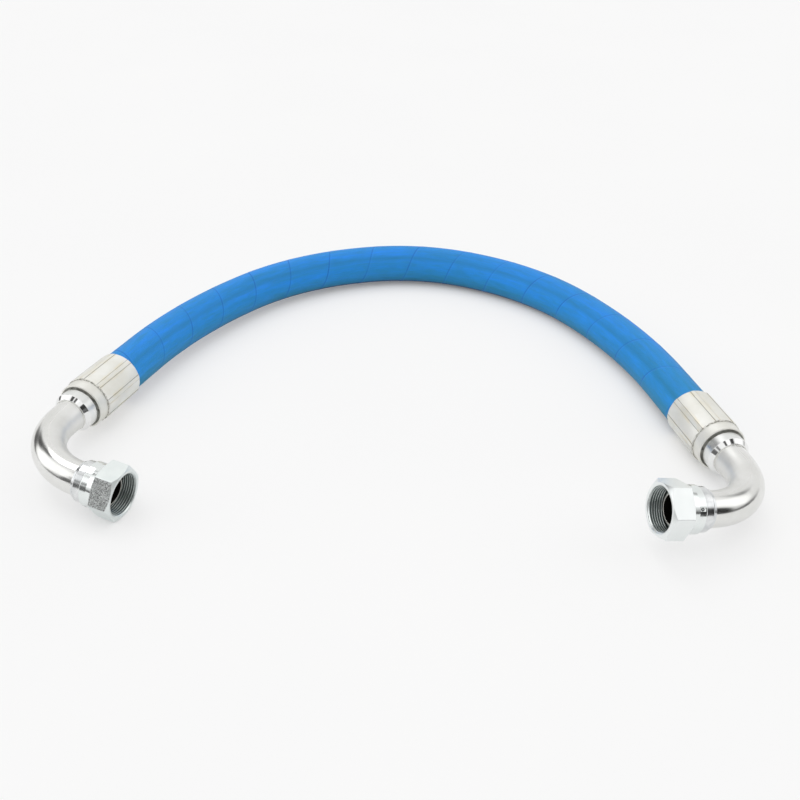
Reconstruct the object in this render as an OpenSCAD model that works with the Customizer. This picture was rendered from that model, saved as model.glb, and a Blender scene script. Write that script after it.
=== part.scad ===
// Hydraulic hose assembly: a two-wire-braid hose with a crimped 90 degree swept elbow on each end.
// Each elbow carries a swivel nut for a 24 degree cone joint. All sizes are in millimetres.
// The hose is drawn in its own flat plane, the fittings are turned about its ends, and the whole
// assembly is then laid on the floor, where it rests on a nut, a ferrule and the back of its arch.

/* [Hose layers] */
// Bore of the hose
hose_bore_d = 25.4; // [22:0.1:28]
// Wall of the inner tube
inner_tube_wall = 2.3; // [1.5:0.1:3]
// Thickness of each wire braid
braid_wall = 1; // [0.6:0.1:1.4]
// Thickness of the rubber between the braids
middle_rubber_wall = 0.4; // [0.2:0.1:0.8]
// Wall of the outer cover
cover_wall = 2.35; // [1.8:0.05:3]

/* [Hose route] */
// Straight run where the hose leaves the left ferrule
left_straight = 39; // [20:1:70]
// Bend radius of the hose near the fittings
shoulder_bend_r = 446; // [360:1:500]
// Bend radius of the hose on the flanks of the arch
flank_bend_r = 238; // [200:1:280]
// Bend radius of the hose at the crown of the arch
crown_bend_r = 174; // [160:1:200]
// Straight run where the hose enters the right ferrule
right_straight = 50; // [20:1:70]

/* [Ferrule] */
// Diameter that the crimping dies leave
crimp_d = 42.8; // [42:0.1:46]
// Length that the dies crimp
crimp_len = 48; // [40:1:60]
// Number of crimping dies
die_count = 8; // [6:1:10]
// Width of the strip of metal left standing between two dies
die_gap = 4.2; // [2:0.1:6]
// Height of that strip above the crimped face
die_gap_height = 0.3; // [0.1:0.05:0.5]
// Turn of the dies about the ferrule
die_clock = 14; // [0:1:45]
// Diameter of the uncrimped nose
nose_band_d = 41.2; // [38:0.1:42]
// Length of the uncrimped nose
nose_band_len = 10.5; // [8:0.5:14]
// Chamfer round the front edge of the nose
nose_band_chamfer = 0.8; // [0.3:0.1:1.5]
// Thickness of the front wall that locks into the tail
lock_wall = 7.5; // [4:0.5:8]
// Length of the flared mouth on the hose side
mouth_len = 6; // [3:0.5:10]
// How far the crimped bore squeezes the cover
cover_squeeze = 1.35; // [0.8:0.05:1.5]
// Number of teeth inside the ferrule
tooth_count = 6; // [3:1:8]
// How far a tooth bites in below the crimped bore
tooth_bite = 0.4; // [0.2:0.05:0.6]
// Width of a tooth
tooth_width = 1.6; // [1:0.1:3]

/* [Hose tail] */
// Bore of the stem
stem_bore_d = 19.6; // [16:0.1:21]
// Gap between the end of the stem and the mouth of the ferrule
stem_setback = 1.5; // [0.5:0.5:4]
// Number of grip grooves round the stem
stem_groove_count = 6; // [3:1:8]
// Depth of a grip groove
stem_groove_depth = 0.5; // [0.2:0.1:0.8]
// Width of a grip groove
stem_groove_width = 2; // [1:0.1:3]
// Diameter of the neck that the ferrule locks round
lock_neck_d = 30; // [29:0.1:31]
// Diameter of the flange behind the locked wall
lock_flange_d = 32.8; // [32:0.1:34]
// Thickness of that flange
lock_flange_len = 1.7; // [1:0.1:3]
// Diameter of the collar in front of the ferrule
collar_d = 35.6; // [34:0.1:38]
// Length of the collar's cylinder
collar_len = 9.2; // [6:0.1:14]
// Length of the collar's nose cone
collar_cone_len = 3.8; // [2:0.1:5]
// Gap between the ferrule and the collar
collar_gap = 1.5; // [0.8:0.1:3]

/* [Elbow tube] */
// Outside diameter of the tube
elbow_tube_d = 28; // [27:0.1:28.6]
// Wall of the tube
elbow_tube_wall = 2.5; // [1.5:0.1:3]
// Bend radius at the tube's axis
elbow_bend_r = 56; // [45:1:80]
// Straight run from the collar to the start of the bend
elbow_straight = 10.4; // [4:0.1:30]
// Straight run from the end of the bend to the back of the nipple
port_straight = 9.9; // [5:0.1:30]
// Depth that the tube is pushed into the tail and the nipple
socket_depth = 6.7; // [4:0.1:7]
// Length of the brazed fillet at each end of the tube
braze_len = 1.2; // [0.6:0.1:2]

/* [Cone nipple] */
// Diameter of the ring behind the nut
nipple_ring_d = 34.6; // [33.6:0.1:36]
// Length of that ring
nipple_ring_len = 5.2; // [3:0.1:8]
// Rounding-off of the ring towards the tube
nipple_ring_chamfer = 1.6; // [0.5:0.1:2]
// Diameter of the body inside the nut
nipple_body_d = 31.8; // [31.4:0.1:32]
// Length of the body inside the nut
nipple_body_len = 6.5; // [6:0.1:8]
// Full angle of the sealing cone
cone_angle = 24; // [20:1:30]
// Length of the sealing cone
cone_len = 9; // [8:0.1:11]
// Outside diameter at the end of the cone
cone_tip_d = 25.2; // [24.6:0.1:26]
// Bore of the nipple
nipple_bore_d = 22.4; // [20:0.1:23]

/* [Swivel nut] */
// Size across the flats
nut_af = 41; // [40:0.5:46]
// Diameter across the corners' front chamfer
nut_face_d = 40.2; // [38:0.1:40.8]
// Length of the front chamfer
nut_face_chamfer = 2.2; // [1:0.1:3]
// Length of the six flats
nut_flat_len = 12.4; // [10:0.1:16]
// Length of the rear chamfer
nut_rear_chamfer = 1.4; // [0.5:0.1:2]
// Diameter where the rear cone starts
nut_cone_d = 39; // [38.4:0.1:40]
// Length of the rear cone
nut_cone_len = 4.7; // [3:0.1:6]
// Wall of the neck that holds the thrust wire
nut_neck_wall = 2.4; // [2.1:0.1:2.8]
// Length of that neck
nut_neck_len = 4.5; // [3.5:0.1:6]
// Nominal diameter of the thread
thread_d = 36; // [35:0.5:37]
// Pitch of the thread
thread_pitch = 2; // [1.5:0.5:2]
// Depth from the face to the end of the thread
thread_depth = 9.8; // [8:0.1:9.8]
// Chamfer at the mouth of the thread
thread_mouth = 1.3; // [0.5:0.1:2]
// Length of the undercut behind the thread
undercut_len = 4.8; // [3:0.1:6]
// Turn of the left nut about its axis
left_nut_clock = 1; // [0:1:59]
// Turn of the right nut about its axis
right_nut_clock = 18.3; // [0:0.1:59]

/* [Thrust wire and seal] */
// Diameter of the thrust wire
wire_d = 2.2; // [1.6:0.1:2.4]
// Arc that the wire goes round
wire_arc = 340; // [300:5:350]
// Depth that the wire's hooked end goes into the nipple
wire_hook = 2.4; // [1:0.1:2.8]
// Diameter of the hole in the nut that the wire is fed through
wire_hole_d = 2.8; // [2.4:0.1:3]
// Angle of that hole round the nut
wire_hole_angle = 217; // [0:1:359]
// Thickness of the cone's seal ring
seal_d = 2; // [1.6:0.1:2.4]
// Distance of the seal ring from the end of the cone
seal_setback = 4.5; // [3.5:0.1:6]
// Height that the seal ring stands above the cone
seal_stand = 0.5; // [0.3:0.1:0.8]

/* [Fits] */
// Gap between the swivel nut and what it turns on
swivel_gap = 0.3; // [0.2:0.05:0.5]
// Gap between pieces that are crimped or brazed together
joint_gap = 0.05; // [0.02:0.01:0.1]
// Gap between neighbouring layers of the hose
layer_gap = 0.05; // [0.02:0.01:0.1]

/* [Twist of the elbows] */
// Angle of the left elbow above the plane of the hose
left_twist = -6.3; // [-20:0.1:20]
// Angle of the right elbow above the plane of the hose
right_twist = 8.4; // [-20:0.1:20]

/* [Hidden] */
$fn = 96;

// Cutters run past the faces that they open
over = 1;
axis_up = [0, 0, 1];

// Radii of the hose's layers
bore_r = hose_bore_d / 2;
tube_r = bore_r + inner_tube_wall;
braid_1_r = tube_r + braid_wall;
middle_r = braid_1_r + middle_rubber_wall;
braid_2_r = middle_r + braid_wall;
hose_r = braid_2_r + cover_wall;
squeezed_r = hose_r - cover_squeeze;
stem_r = bore_r - joint_gap;
cover_bore_r = braid_2_r + layer_gap;

// Stations along a fitting, measured from the mouth of the ferrule towards the elbow
crimp_r = crimp_d / 2;
nose_band_r = nose_band_d / 2;
ferrule_len = crimp_len + nose_band_len;
lock_at = ferrule_len - lock_wall;
flange_at = lock_at - lock_flange_len;
hose_end = flange_at - joint_gap;
collar_at = ferrule_len + collar_gap;
cone_at = collar_at + collar_len;
tail_end = cone_at + collar_cone_len;
bend_at = tail_end + elbow_straight;
tail_socket_at = tail_end - socket_depth;

// The tube, and the faces that it is brazed to
elbow_r = elbow_tube_d / 2;
elbow_bore_r = elbow_r - elbow_tube_wall;
socket_r = elbow_r + joint_gap;
braze_r = elbow_r + braze_len;
stem_bore_r = stem_bore_d / 2;

// Stations along a port, measured back from the face of the nut, so they are negative
flats_from = -nut_face_chamfer;
flats_to = flats_from - nut_flat_len;
hex_back = flats_to - nut_rear_chamfer;
neck_from = hex_back - nut_cone_len;
nut_back = neck_from - nut_neck_len;
ring_from = nut_back - swivel_gap;
ring_to = ring_from - nipple_ring_len;
body_to = ring_from + nipple_body_len;
cone_tip = body_to + cone_len;
tube_end = ring_to + socket_depth;
wire_at = neck_from - nut_neck_len / 2 + wire_d / 2;
seal_at = cone_tip - seal_setback;

nut_corner_r = nut_af / sqrt(3);
// Angle from a corner of the nut to the seam of its turned faces
nut_seam = 18;
thread_minor_d = thread_d - 1.0825 * thread_pitch;
undercut_r = thread_d / 2 + swivel_gap;
nut_bore_r = nipple_body_d / 2 + swivel_gap;
nut_neck_r = nut_bore_r + nut_neck_wall;
wire_ring_r = (nipple_body_d / 2 + nut_bore_r) / 2;
wire_r = wire_d / 2;
cone_slope = tan(cone_angle / 2);
seal_ring_r = cone_tip_d / 2 + seal_setback * cone_slope + seal_stand - seal_d / 2;
port_leg = port_straight - ring_to;

// Headings of the hose along the arch. They come from the 3-4-5 triangle, so that the faces where
// two legs of the route meet have round coordinates and coincide exactly.
leave = [0.28, 0.96];
climb = [0.6, 0.8];
to_crown = [0.96, 0.28];
from_crown = [0.96, -0.28];
fall = [0.6, -0.8];
arrive = [0.28, -0.96];
// The route from left to right: [length or bend radius, heading at the start, heading at the end]
hose_route = [
    [left_straight, leave, leave],
    [shoulder_bend_r, leave, climb],
    [flank_bend_r, climb, to_crown],
    [crown_bend_r, to_crown, from_crown],
    [flank_bend_r, from_crown, fall],
    [shoulder_bend_r, fall, arrive],
    [right_straight, arrive, arrive]
];
// The leg whose back touches the floor
foot_leg = 4;
// Place of the left ferrule's mouth in the plane of the hose
left_mouth = [-256.3, 5.28];

function angle_of(d) = atan2(d.y, d.x);
function side(d) = [d.y, -d.x];
function is_straight(leg) = leg[1] == leg[2];
function bend_centre(p, leg) = p + leg[0] * side(leg[1]);
function leg_end(p, leg) = is_straight(leg)
    ? p + leg[0] * leg[1]
    : bend_centre(p, leg) - leg[0] * side(leg[2]);
function leg_starts(p, i = 0) = i == len(hose_route)
    ? [p]
    : concat([p], leg_starts(leg_end(p, hose_route[i]), i + 1));

hose_places = leg_starts(left_mouth);
right_mouth = hose_places[len(hose_route)];
foot_centre = bend_centre(hose_places[foot_leg], hose_route[foot_leg]);
foot_bend_r = hose_route[foot_leg][0];
left_heading = angle_of(leave);
right_heading = angle_of(arrive);

// The same turns as the placing modules below, for single points
function turn_z(a, v) = [v.x * cos(a) - v.y * sin(a), v.x * sin(a) + v.y * cos(a), v.z];
function turn_y(v) = [v.z, v.y, -v.x];
function left_point(v) = [left_mouth.x, left_mouth.y, 0]
    + turn_z(left_heading + 180, turn_y(turn_z(90 + left_twist, v)));
function port_point(v) = [elbow_bend_r + port_leg, 0, bend_at + elbow_bend_r] + turn_y(v);
function lowest(points, i = 0) = i == len(points) - 1
    ? points[i]
    : let (rest = lowest(points, i + 1)) points[i].z < rest.z ? points[i] : rest;

// The three points that the assembly rests on, in the hose's own plane
nut_edge = [
    for (a = [0:2:358]) for (back = [0, 1])
        let (
            r = nut_af / 2 / cos(a % 60 - 30),
            front = flats_from * (r - nut_face_d / 2) / (nut_corner_r - nut_face_d / 2),
            turn = left_nut_clock + a
        )
        left_point(port_point([r * cos(turn), r * sin(turn), back == 1 ? flats_to : front]))
];
nut_foot = lowest(nut_edge);
ferrule_foot = [right_mouth.x, right_mouth.y, -crimp_r - die_gap_height];
function arch_foot(a) = [
    foot_centre.x + foot_bend_r * cos(a),
    foot_centre.y + foot_bend_r * sin(a),
    -hose_r
];
function unit(v) = v / norm(v);
function floor_normal(a) = unit(cross(ferrule_foot - nut_foot, arch_foot(a) - nut_foot));
// The arch touches where it points downhill, which a few rounds settle
function downhill(a, rounds) = rounds == 0
    ? a
    : let (n = floor_normal(a)) downhill(atan2(-n.y, -n.x), rounds - 1);
floor_up = floor_normal(downhill(50, 12));

// Place of the row's origin in the plane of the hose: midway between the two fittings
origin_x = 0;
origin_y = -87.4;

module laid() {
    translate([-origin_x, -origin_y, -floor_up * nut_foot])
        rotate(a = acos(floor_up.z), v = cross(floor_up, axis_up)) children();
}

// A fitting's own frame: z runs from the mouth of the ferrule to the elbow, and x to the port
module at_left() {
    laid() translate(left_mouth) rotate([0, 0, left_heading + 180])
        rotate([0, 90, 0]) rotate([0, 0, 90 + left_twist]) children();
}

module at_right() {
    laid() translate(right_mouth) rotate([0, 0, right_heading])
        rotate([0, 90, 0]) rotate([0, 0, -90 - right_twist]) children();
}

// A port's own frame: z points out of the nut, and z = 0 is the face of the nut
module at_port() {
    translate([elbow_bend_r + port_leg, 0, bend_at + elbow_bend_r]) rotate([0, 90, 0]) children();
}

module ring(inner, outer, height) {
    difference() {
        cylinder(r = outer, h = height);
        translate([0, 0, -over]) cylinder(r = inner, h = height + 2 * over);
    }
}

module annulus(inner, outer) {
    difference() {
        circle(r = outer);
        circle(r = inner);
    }
}

// One straight of the hose from point p
module hose_straight(p, d, length, inner, outer) {
    translate([p.x, p.y, 0]) rotate([0, 0, angle_of(d)]) rotate([0, 90, 0])
        ring(inner, outer, length);
}

// One bend of the hose: a full ring, cut to the wedge between its two headings
module hose_bend(p, leg, inner, outer) {
    c = bend_centre(p, leg);
    reach = 2 * leg[0];
    translate([c.x, c.y, 0]) intersection() {
        rotate_extrude() translate([leg[0], 0]) annulus(inner, outer);
        linear_extrude(height = 4 * outer, center = true) polygon([
            [0, 0],
            -reach * side(leg[1]),
            -reach * (side(leg[1]) + side(leg[2])),
            -reach * side(leg[2])
        ]);
    }
}

module hose_run(inner, outer) {
    for (i = [0:len(hose_route) - 1])
        if (is_straight(hose_route[i]))
            hose_straight(hose_places[i], hose_route[i][1], hose_route[i][0], inner, outer);
        else
            hose_bend(hose_places[i], hose_route[i], inner, outer);
}

// A layer that runs unchanged into both ferrules
module hose_layer(inner, outer) {
    laid() {
        hose_run(inner, outer);
        hose_straight(left_mouth - hose_end * leave, leave, hose_end, inner, outer);
        hose_straight(right_mouth, arrive, hose_end, inner, outer);
    }
}

// The bore that the dies squeeze round the cover, from the flared mouth to the end of the hose
tooth_pitch = (hose_end - mouth_len) / tooth_count;
function grip_outline(r, mouth_r) = concat(
    [[mouth_r, 0], [r, mouth_len]],
    [
        for (i = [0:tooth_count - 1])
            let (z = mouth_len + (i + 0.5) * tooth_pitch)
                for (p = [
                    [r, z - tooth_width / 2 - tooth_bite],
                    [r - tooth_bite, z - tooth_width / 2],
                    [r - tooth_bite, z + tooth_width / 2],
                    [r, z + tooth_width / 2 + tooth_bite]
                ]) p
    ],
    [[r, hose_end]]
);

module squeezed_cover(mouth, heading) {
    translate([mouth.x, mouth.y, 0]) rotate([0, 0, heading]) rotate([0, 90, 0]) rotate_extrude()
        polygon(concat(
            [[cover_bore_r, hose_end], [cover_bore_r, 0]],
            grip_outline(squeezed_r, hose_r)
        ));
}

module hose_inner_tube() color("#26282b") hose_layer(bore_r, tube_r);

module hose_inner_braid() color("#a8a79c") hose_layer(tube_r + layer_gap, braid_1_r);

module hose_middle_rubber() color("#303236") hose_layer(braid_1_r + layer_gap, middle_r);

module hose_outer_braid() color("#a8a79c") hose_layer(middle_r + layer_gap, braid_2_r);

module hose_cover() color("#2f86c9") laid() {
    hose_run(cover_bore_r, hose_r);
    squeezed_cover(left_mouth, left_heading + 180);
    squeezed_cover(right_mouth, right_heading);
}

// Strips of metal that rise between the dies over the crimped length
module die_strips() {
    intersection() {
        ring(squeezed_r + die_gap_height, crimp_r + die_gap_height, crimp_len);
        for (i = [0:die_count - 1]) rotate([0, 0, die_clock + i * 360 / die_count])
            translate([crimp_r - over, -die_gap / 2, 0])
                cube([over + die_gap_height, die_gap, crimp_len]);
    }
}

module ferrule() {
    color("#c9c8bf") {
        rotate_extrude() polygon(concat(
            grip_outline(squeezed_r + joint_gap, hose_r + joint_gap),
            [
                [squeezed_r + joint_gap, lock_at],
                [lock_neck_d / 2 + joint_gap, lock_at],
                [lock_neck_d / 2 + joint_gap, ferrule_len],
                [nose_band_r - nose_band_chamfer, ferrule_len],
                [nose_band_r, ferrule_len - nose_band_chamfer],
                [nose_band_r, crimp_len],
                [crimp_r, crimp_len],
                [crimp_r, 0]
            ]
        ));
        die_strips();
    }
}

module stem_grooves() {
    pitch = (flange_at - mouth_len) / stem_groove_count;
    for (i = [0:stem_groove_count - 1])
        translate([0, 0, mouth_len + (i + 0.5) * pitch - stem_groove_width / 2])
            ring(stem_r - stem_groove_depth, stem_r + over, stem_groove_width);
}

module hose_tail() {
    color("#d6d8d8") difference() {
        rotate_extrude() polygon([
            [stem_bore_r, stem_setback],
            [stem_r - stem_groove_depth, stem_setback],
            [stem_r, stem_setback + over],
            [stem_r, flange_at],
            [lock_flange_d / 2, flange_at],
            [lock_flange_d / 2, lock_at - joint_gap],
            [lock_neck_d / 2, lock_at - joint_gap],
            [lock_neck_d / 2, collar_at],
            [collar_d / 2, collar_at],
            [collar_d / 2, cone_at],
            [braze_r, tail_end],
            [socket_r, tail_end],
            [socket_r, tail_socket_at - joint_gap],
            [elbow_bore_r, tail_socket_at - joint_gap],
            [stem_bore_r, tail_socket_at - joint_gap - (elbow_bore_r - stem_bore_r)]
        ]);
        stem_grooves();
    }
}

module elbow_tube() {
    color("#dcdedd") {
        translate([0, 0, tail_socket_at]) ring(elbow_bore_r, elbow_r, bend_at - tail_socket_at);
        translate([elbow_bend_r, 0, bend_at]) rotate([90, 0, 0]) rotate([0, 0, 90])
            rotate_extrude(angle = 90) translate([elbow_bend_r, 0]) annulus(elbow_bore_r, elbow_r);
        translate([elbow_bend_r, 0, bend_at + elbow_bend_r]) rotate([0, 90, 0])
            ring(elbow_bore_r, elbow_r, port_leg + tube_end);
    }
}

// A fillet of filler metal that rises from the tube to the face behind it
module braze_fillet() {
    rotate_extrude() polygon([[elbow_r, 0], [braze_r, 0], [elbow_r, braze_len]]);
}

module braze_fillets() {
    color("#c4b98f") {
        translate([0, 0, tail_end]) braze_fillet();
        at_port() translate([0, 0, ring_to]) mirror([0, 0, 1]) braze_fillet();
    }
}

module wire_path(r, arc) {
    translate([0, 0, wire_at]) rotate([0, 0, wire_hole_angle])
        rotate_extrude(angle = arc) translate([wire_ring_r, 0]) circle(r = r);
}

module wire_hook_path(r, depth) {
    translate([0, 0, wire_at]) rotate([0, 0, wire_hole_angle]) rotate([0, 90, 0])
        translate([0, 0, wire_ring_r - depth]) cylinder(r = r, h = depth);
}

module cone_nipple() {
    full = 360;
    color("#cfd3d3") at_port() difference() {
        rotate_extrude() polygon([
            [nipple_bore_d / 2, cone_tip],
            [cone_tip_d / 2, cone_tip],
            [cone_tip_d / 2 + cone_len * cone_slope, body_to],
            [nipple_body_d / 2, body_to],
            [nipple_body_d / 2, ring_from],
            [nipple_ring_d / 2, ring_from],
            [nipple_ring_d / 2, ring_to + nipple_ring_chamfer],
            [max(nipple_ring_d / 2 - nipple_ring_chamfer, braze_r), ring_to],
            [socket_r, ring_to],
            [socket_r, tube_end + joint_gap],
            [nipple_bore_d / 2, tube_end + joint_gap]
        ]);
        wire_path(wire_r + joint_gap, full);
        wire_hook_path(wire_r + joint_gap, wire_hook + joint_gap);
        translate([0, 0, seal_at]) rotate_extrude()
            translate([seal_ring_r, 0]) circle(d = seal_d + 2 * joint_gap);
    }
}

module seal_ring() {
    color("#1d1e20") at_port() translate([0, 0, seal_at]) rotate_extrude()
        translate([seal_ring_r, 0]) circle(d = seal_d);
}

module thrust_wire() {
    color("#b9bbb8") at_port() {
        wire_path(wire_r, wire_arc);
        wire_hook_path(wire_r, wire_hook);
    }
}

// A line carried on past its end
function run_on(from, to) = to + over * (to - from) / (to.x - from.x);

// The nut's turned section, outside and bore. Its chamfers run on past the corners of the hexagon.
module nut_section() {
    face_edge = [nut_face_d / 2, 0];
    rear_edge = [nut_cone_d / 2, hex_back];
    thread_minor_r = thread_minor_d / 2;
    undercut_to = -thread_depth - undercut_len;
    polygon([
        face_edge,
        run_on(face_edge, [nut_corner_r, flats_from]),
        run_on(rear_edge, [nut_corner_r, flats_to]),
        rear_edge,
        [nut_neck_r, neck_from],
        [nut_neck_r, nut_back],
        [nut_bore_r, nut_back],
        [nut_bore_r, undercut_to - (undercut_r - nut_bore_r)],
        [undercut_r, undercut_to],
        [undercut_r, -thread_depth - (undercut_r - thread_minor_r)],
        [thread_minor_r, -thread_depth],
        [thread_minor_r, -thread_mouth],
        [thread_minor_r + thread_mouth, 0]
    ]);
}

module swivel_nut(clock) {
    full = 360;
    color("#c3cac8") at_port() difference() {
        rotate([0, 0, clock]) intersection() {
            translate([0, 0, nut_back - over])
                cylinder(r = nut_corner_r, h = 2 * over - nut_back, $fn = 6);
            rotate([0, 0, nut_seam]) rotate_extrude() nut_section();
        }
        wire_path(wire_r + swivel_gap, full);
        translate([0, 0, wire_at]) rotate([0, 0, wire_hole_angle]) rotate([0, 90, 0])
            cylinder(d = wire_hole_d, h = nut_corner_r);
    }
}

hose_inner_tube();
hose_inner_braid();
hose_middle_rubber();
hose_outer_braid();
hose_cover();
at_left() ferrule();  // left_ferrule
at_left() hose_tail();  // left_hose_tail
at_left() elbow_tube();  // left_elbow_tube
at_left() braze_fillets();  // left_braze_fillets
at_left() cone_nipple();  // left_cone_nipple
at_left() seal_ring();  // left_seal_ring
at_left() thrust_wire();  // left_thrust_wire
at_left() swivel_nut(left_nut_clock);  // left_swivel_nut
at_right() ferrule();  // right_ferrule
at_right() hose_tail();  // right_hose_tail
at_right() elbow_tube();  // right_elbow_tube
at_right() braze_fillets();  // right_braze_fillets
at_right() cone_nipple();  // right_cone_nipple
at_right() seal_ring();  // right_seal_ring
at_right() thrust_wire();  // right_thrust_wire
at_right() swivel_nut(right_nut_clock);  // right_swivel_nut
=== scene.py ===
import math

import bmesh
import bpy
import numpy as np
from mathutils import Matrix, Vector


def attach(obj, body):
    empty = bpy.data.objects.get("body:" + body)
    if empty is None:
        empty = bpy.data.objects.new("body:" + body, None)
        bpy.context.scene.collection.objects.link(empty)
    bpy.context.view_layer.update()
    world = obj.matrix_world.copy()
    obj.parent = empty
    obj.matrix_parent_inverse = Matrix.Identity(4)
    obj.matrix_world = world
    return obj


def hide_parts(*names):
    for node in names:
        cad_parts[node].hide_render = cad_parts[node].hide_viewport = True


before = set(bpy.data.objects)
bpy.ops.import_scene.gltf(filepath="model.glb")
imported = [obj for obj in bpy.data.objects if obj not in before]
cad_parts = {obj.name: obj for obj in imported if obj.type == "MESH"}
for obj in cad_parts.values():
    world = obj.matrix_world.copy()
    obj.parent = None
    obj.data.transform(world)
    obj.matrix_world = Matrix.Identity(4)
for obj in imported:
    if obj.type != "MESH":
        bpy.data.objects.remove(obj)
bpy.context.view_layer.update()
scene = bpy.context.scene
MM = 0.001

# ------------------------------------------------------------------ the photograph's camera

PHOTO_PX = 800
SENSOR = 36
CAM_F_PX = 990.868
CAM_PITCH = math.radians(33.0582)
CAM_ROLL = math.radians(0.1263)
CAM_DISTANCE = 0.922747
CAM_HEADING = math.radians(4.1223)
CAM_TARGET = Vector((-0.0011557, 0.1142456, 0.0))


def make_camera():
    forward = Vector((0, math.cos(CAM_PITCH), -math.sin(CAM_PITCH)))
    right = Vector((1, 0, 0))
    up = right.cross(forward)
    rolled_right = math.cos(CAM_ROLL) * right + math.sin(CAM_ROLL) * up
    rolled_up = -math.sin(CAM_ROLL) * right + math.cos(CAM_ROLL) * up
    turn = Matrix.Rotation(CAM_HEADING, 3, "Z")
    rot = turn @ Matrix((rolled_right, rolled_up, -forward)).transposed()
    data = bpy.data.cameras.new("camera")
    data.sensor_width = SENSOR
    data.lens = CAM_F_PX * SENSOR / PHOTO_PX
    data.clip_end = 50
    cam = bpy.data.objects.new("camera", data)
    scene.collection.objects.link(cam)
    stand = Matrix.Translation(CAM_TARGET - (turn @ forward) * CAM_DISTANCE)
    cam.matrix_world = stand @ rot.to_4x4()
    scene.camera = cam


make_camera()

# ------------------------------------------------------------------ sizes and places, in mm

# The hose, and how deep the flared mouth of a ferrule squeezes it
HOSE_R = 19.75
SQUEEZED_R = 18.4
MOUTH_LEN = 6.0
INSIDE_FERRULE = 5.0
LEFT_MOUTH = (-256.3, 5.28)
# The hose's plane in the row frame
ORIGIN_Y = -87.4
LIFT = 25.3618
TILT = math.radians(1.25388)
TILT_AXIS = np.array([-0.74314, 0.669136, 0.0])
# Each leg of the hose: length or bend radius, heading at its start, heading at its end
ROUTE = [
    (39.0, (0.28, 0.96), (0.28, 0.96)),
    (446.0, (0.28, 0.96), (0.6, 0.8)),
    (238.0, (0.6, 0.8), (0.96, 0.28)),
    (174.0, (0.96, 0.28), (0.96, -0.28)),
    (238.0, (0.96, -0.28), (0.6, -0.8)),
    (446.0, (0.6, -0.8), (0.28, -0.96)),
    (50.0, (0.28, -0.96), (0.28, -0.96)),
]
# Each fitting's frame: z from the mouth of the ferrule to the elbow, x to the port
FITTING = {
    "left": (
        (-256.273, 92.7098, 29.0288),
        (0.952527, -0.28017, -0.119154),
        (-0.279856, -0.95984, 0.0197113),
    ),
    "right": (
        (256.273, 82.0902, 21.6948),
        (-0.947428, -0.274471, 0.164459),
        (0.280084, -0.959906, 0.0115115),
    ),
}
# The elbow: 28 mm tube, bent to a 56 mm centreline
TUBE_R = 14.0
TUBE_BORE_R = 11.5
BEND_R = 56.0
BEND_AT = 83.4
PORT_LEG = 40.6
PORT_AT = (BEND_R + PORT_LEG, 0.0, BEND_AT + BEND_R)
# The ferrule: crimped length, and the nose in front of it
CRIMP_R = 21.4
CRIMP_TO = 48.0
NOSE_R = 20.6
NOSE_TO = 58.5
DIE_COUNT = 8
DIE_CLOCK = 14.0
DIE_STRIP = 4.2
DIE_STRIP_RISE = 0.3
# The hose tail: its collar and the cone in front of it
COLLAR_R = 17.8
COLLAR_FROM = 60.0
COLLAR_TO = 69.2
TAIL_END = 73.0
# The nipple, from the face of the nut backwards
CONE_TIP = -10.0
CONE_TIP_R = 12.6
CONE_TO = -19.0
NIPPLE_R = 15.9
NIPPLE_BORE_R = 11.2
RING_FROM = -28.9
RING_TO = -35.1
RING_R = 17.35
NIPPLE_END = -38.3
# The nut, from its face backwards, and the M36x2 thread in it
ACROSS_FLATS = 41.0
FACE_R = 20.1
HEX_BACK = -18.0
NECK_FROM = -22.8
NECK_R = 18.6
NUT_BACK = -28.6
NUT_BORE_R = 16.2
THREAD_TOP = 16.9175
THREAD_ROOT = 17.95
PITCH = 2.0
UNDERCUT_R = 18.3
# The wire ring between nut and nipple, and the hole through which it was fed
WIRE_AT = -24.6
WIRE_RING_R = 16.05
WIRE_R = 0.85
WIRE_HOLE_R = 1.4
WIRE_HOLE_TURN = 217
# Each nut's turn about its port, and the left nut's flat that has a coarse grain, in degrees
CLOCK = {"left": 1.0, "right": 18.3}
GRAINED_FLAT = 150.0


def fitting_frame(side):
    """4x4 from a fitting's own millimetres to the row frame in metres."""
    o, x, z = (np.array(v, float) for v in FITTING[side])
    x /= np.linalg.norm(x)
    z -= x * (z @ x)
    z /= np.linalg.norm(z)
    m = np.eye(4)
    m[:3, :3] = np.stack([x, np.cross(z, x), z], axis=1) * MM
    m[:3, 3] = o * MM
    return m


def port_frame(side):
    """The same for a port: z points out of the nut, and z = 0 is its face."""
    m = np.eye(4)
    m[:3, 0] = (0, 0, -1)
    m[:3, 1] = (0, 1, 0)
    m[:3, 2] = (1, 0, 0)
    m[:3, 3] = PORT_AT
    return fitting_frame(side) @ m


def laid(p):
    """Points of the hose's plane, in mm, to the row frame, in metres."""
    k, c, s = TILT_AXIS, math.cos(TILT), math.sin(TILT)
    q = p * c + np.cross(k, p) * s + np.outer(p @ k, k) * (1 - c)
    return (q + np.array([0, -ORIGIN_Y, LIFT])) * MM


# ------------------------------------------------------------------ mesh helpers


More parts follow.
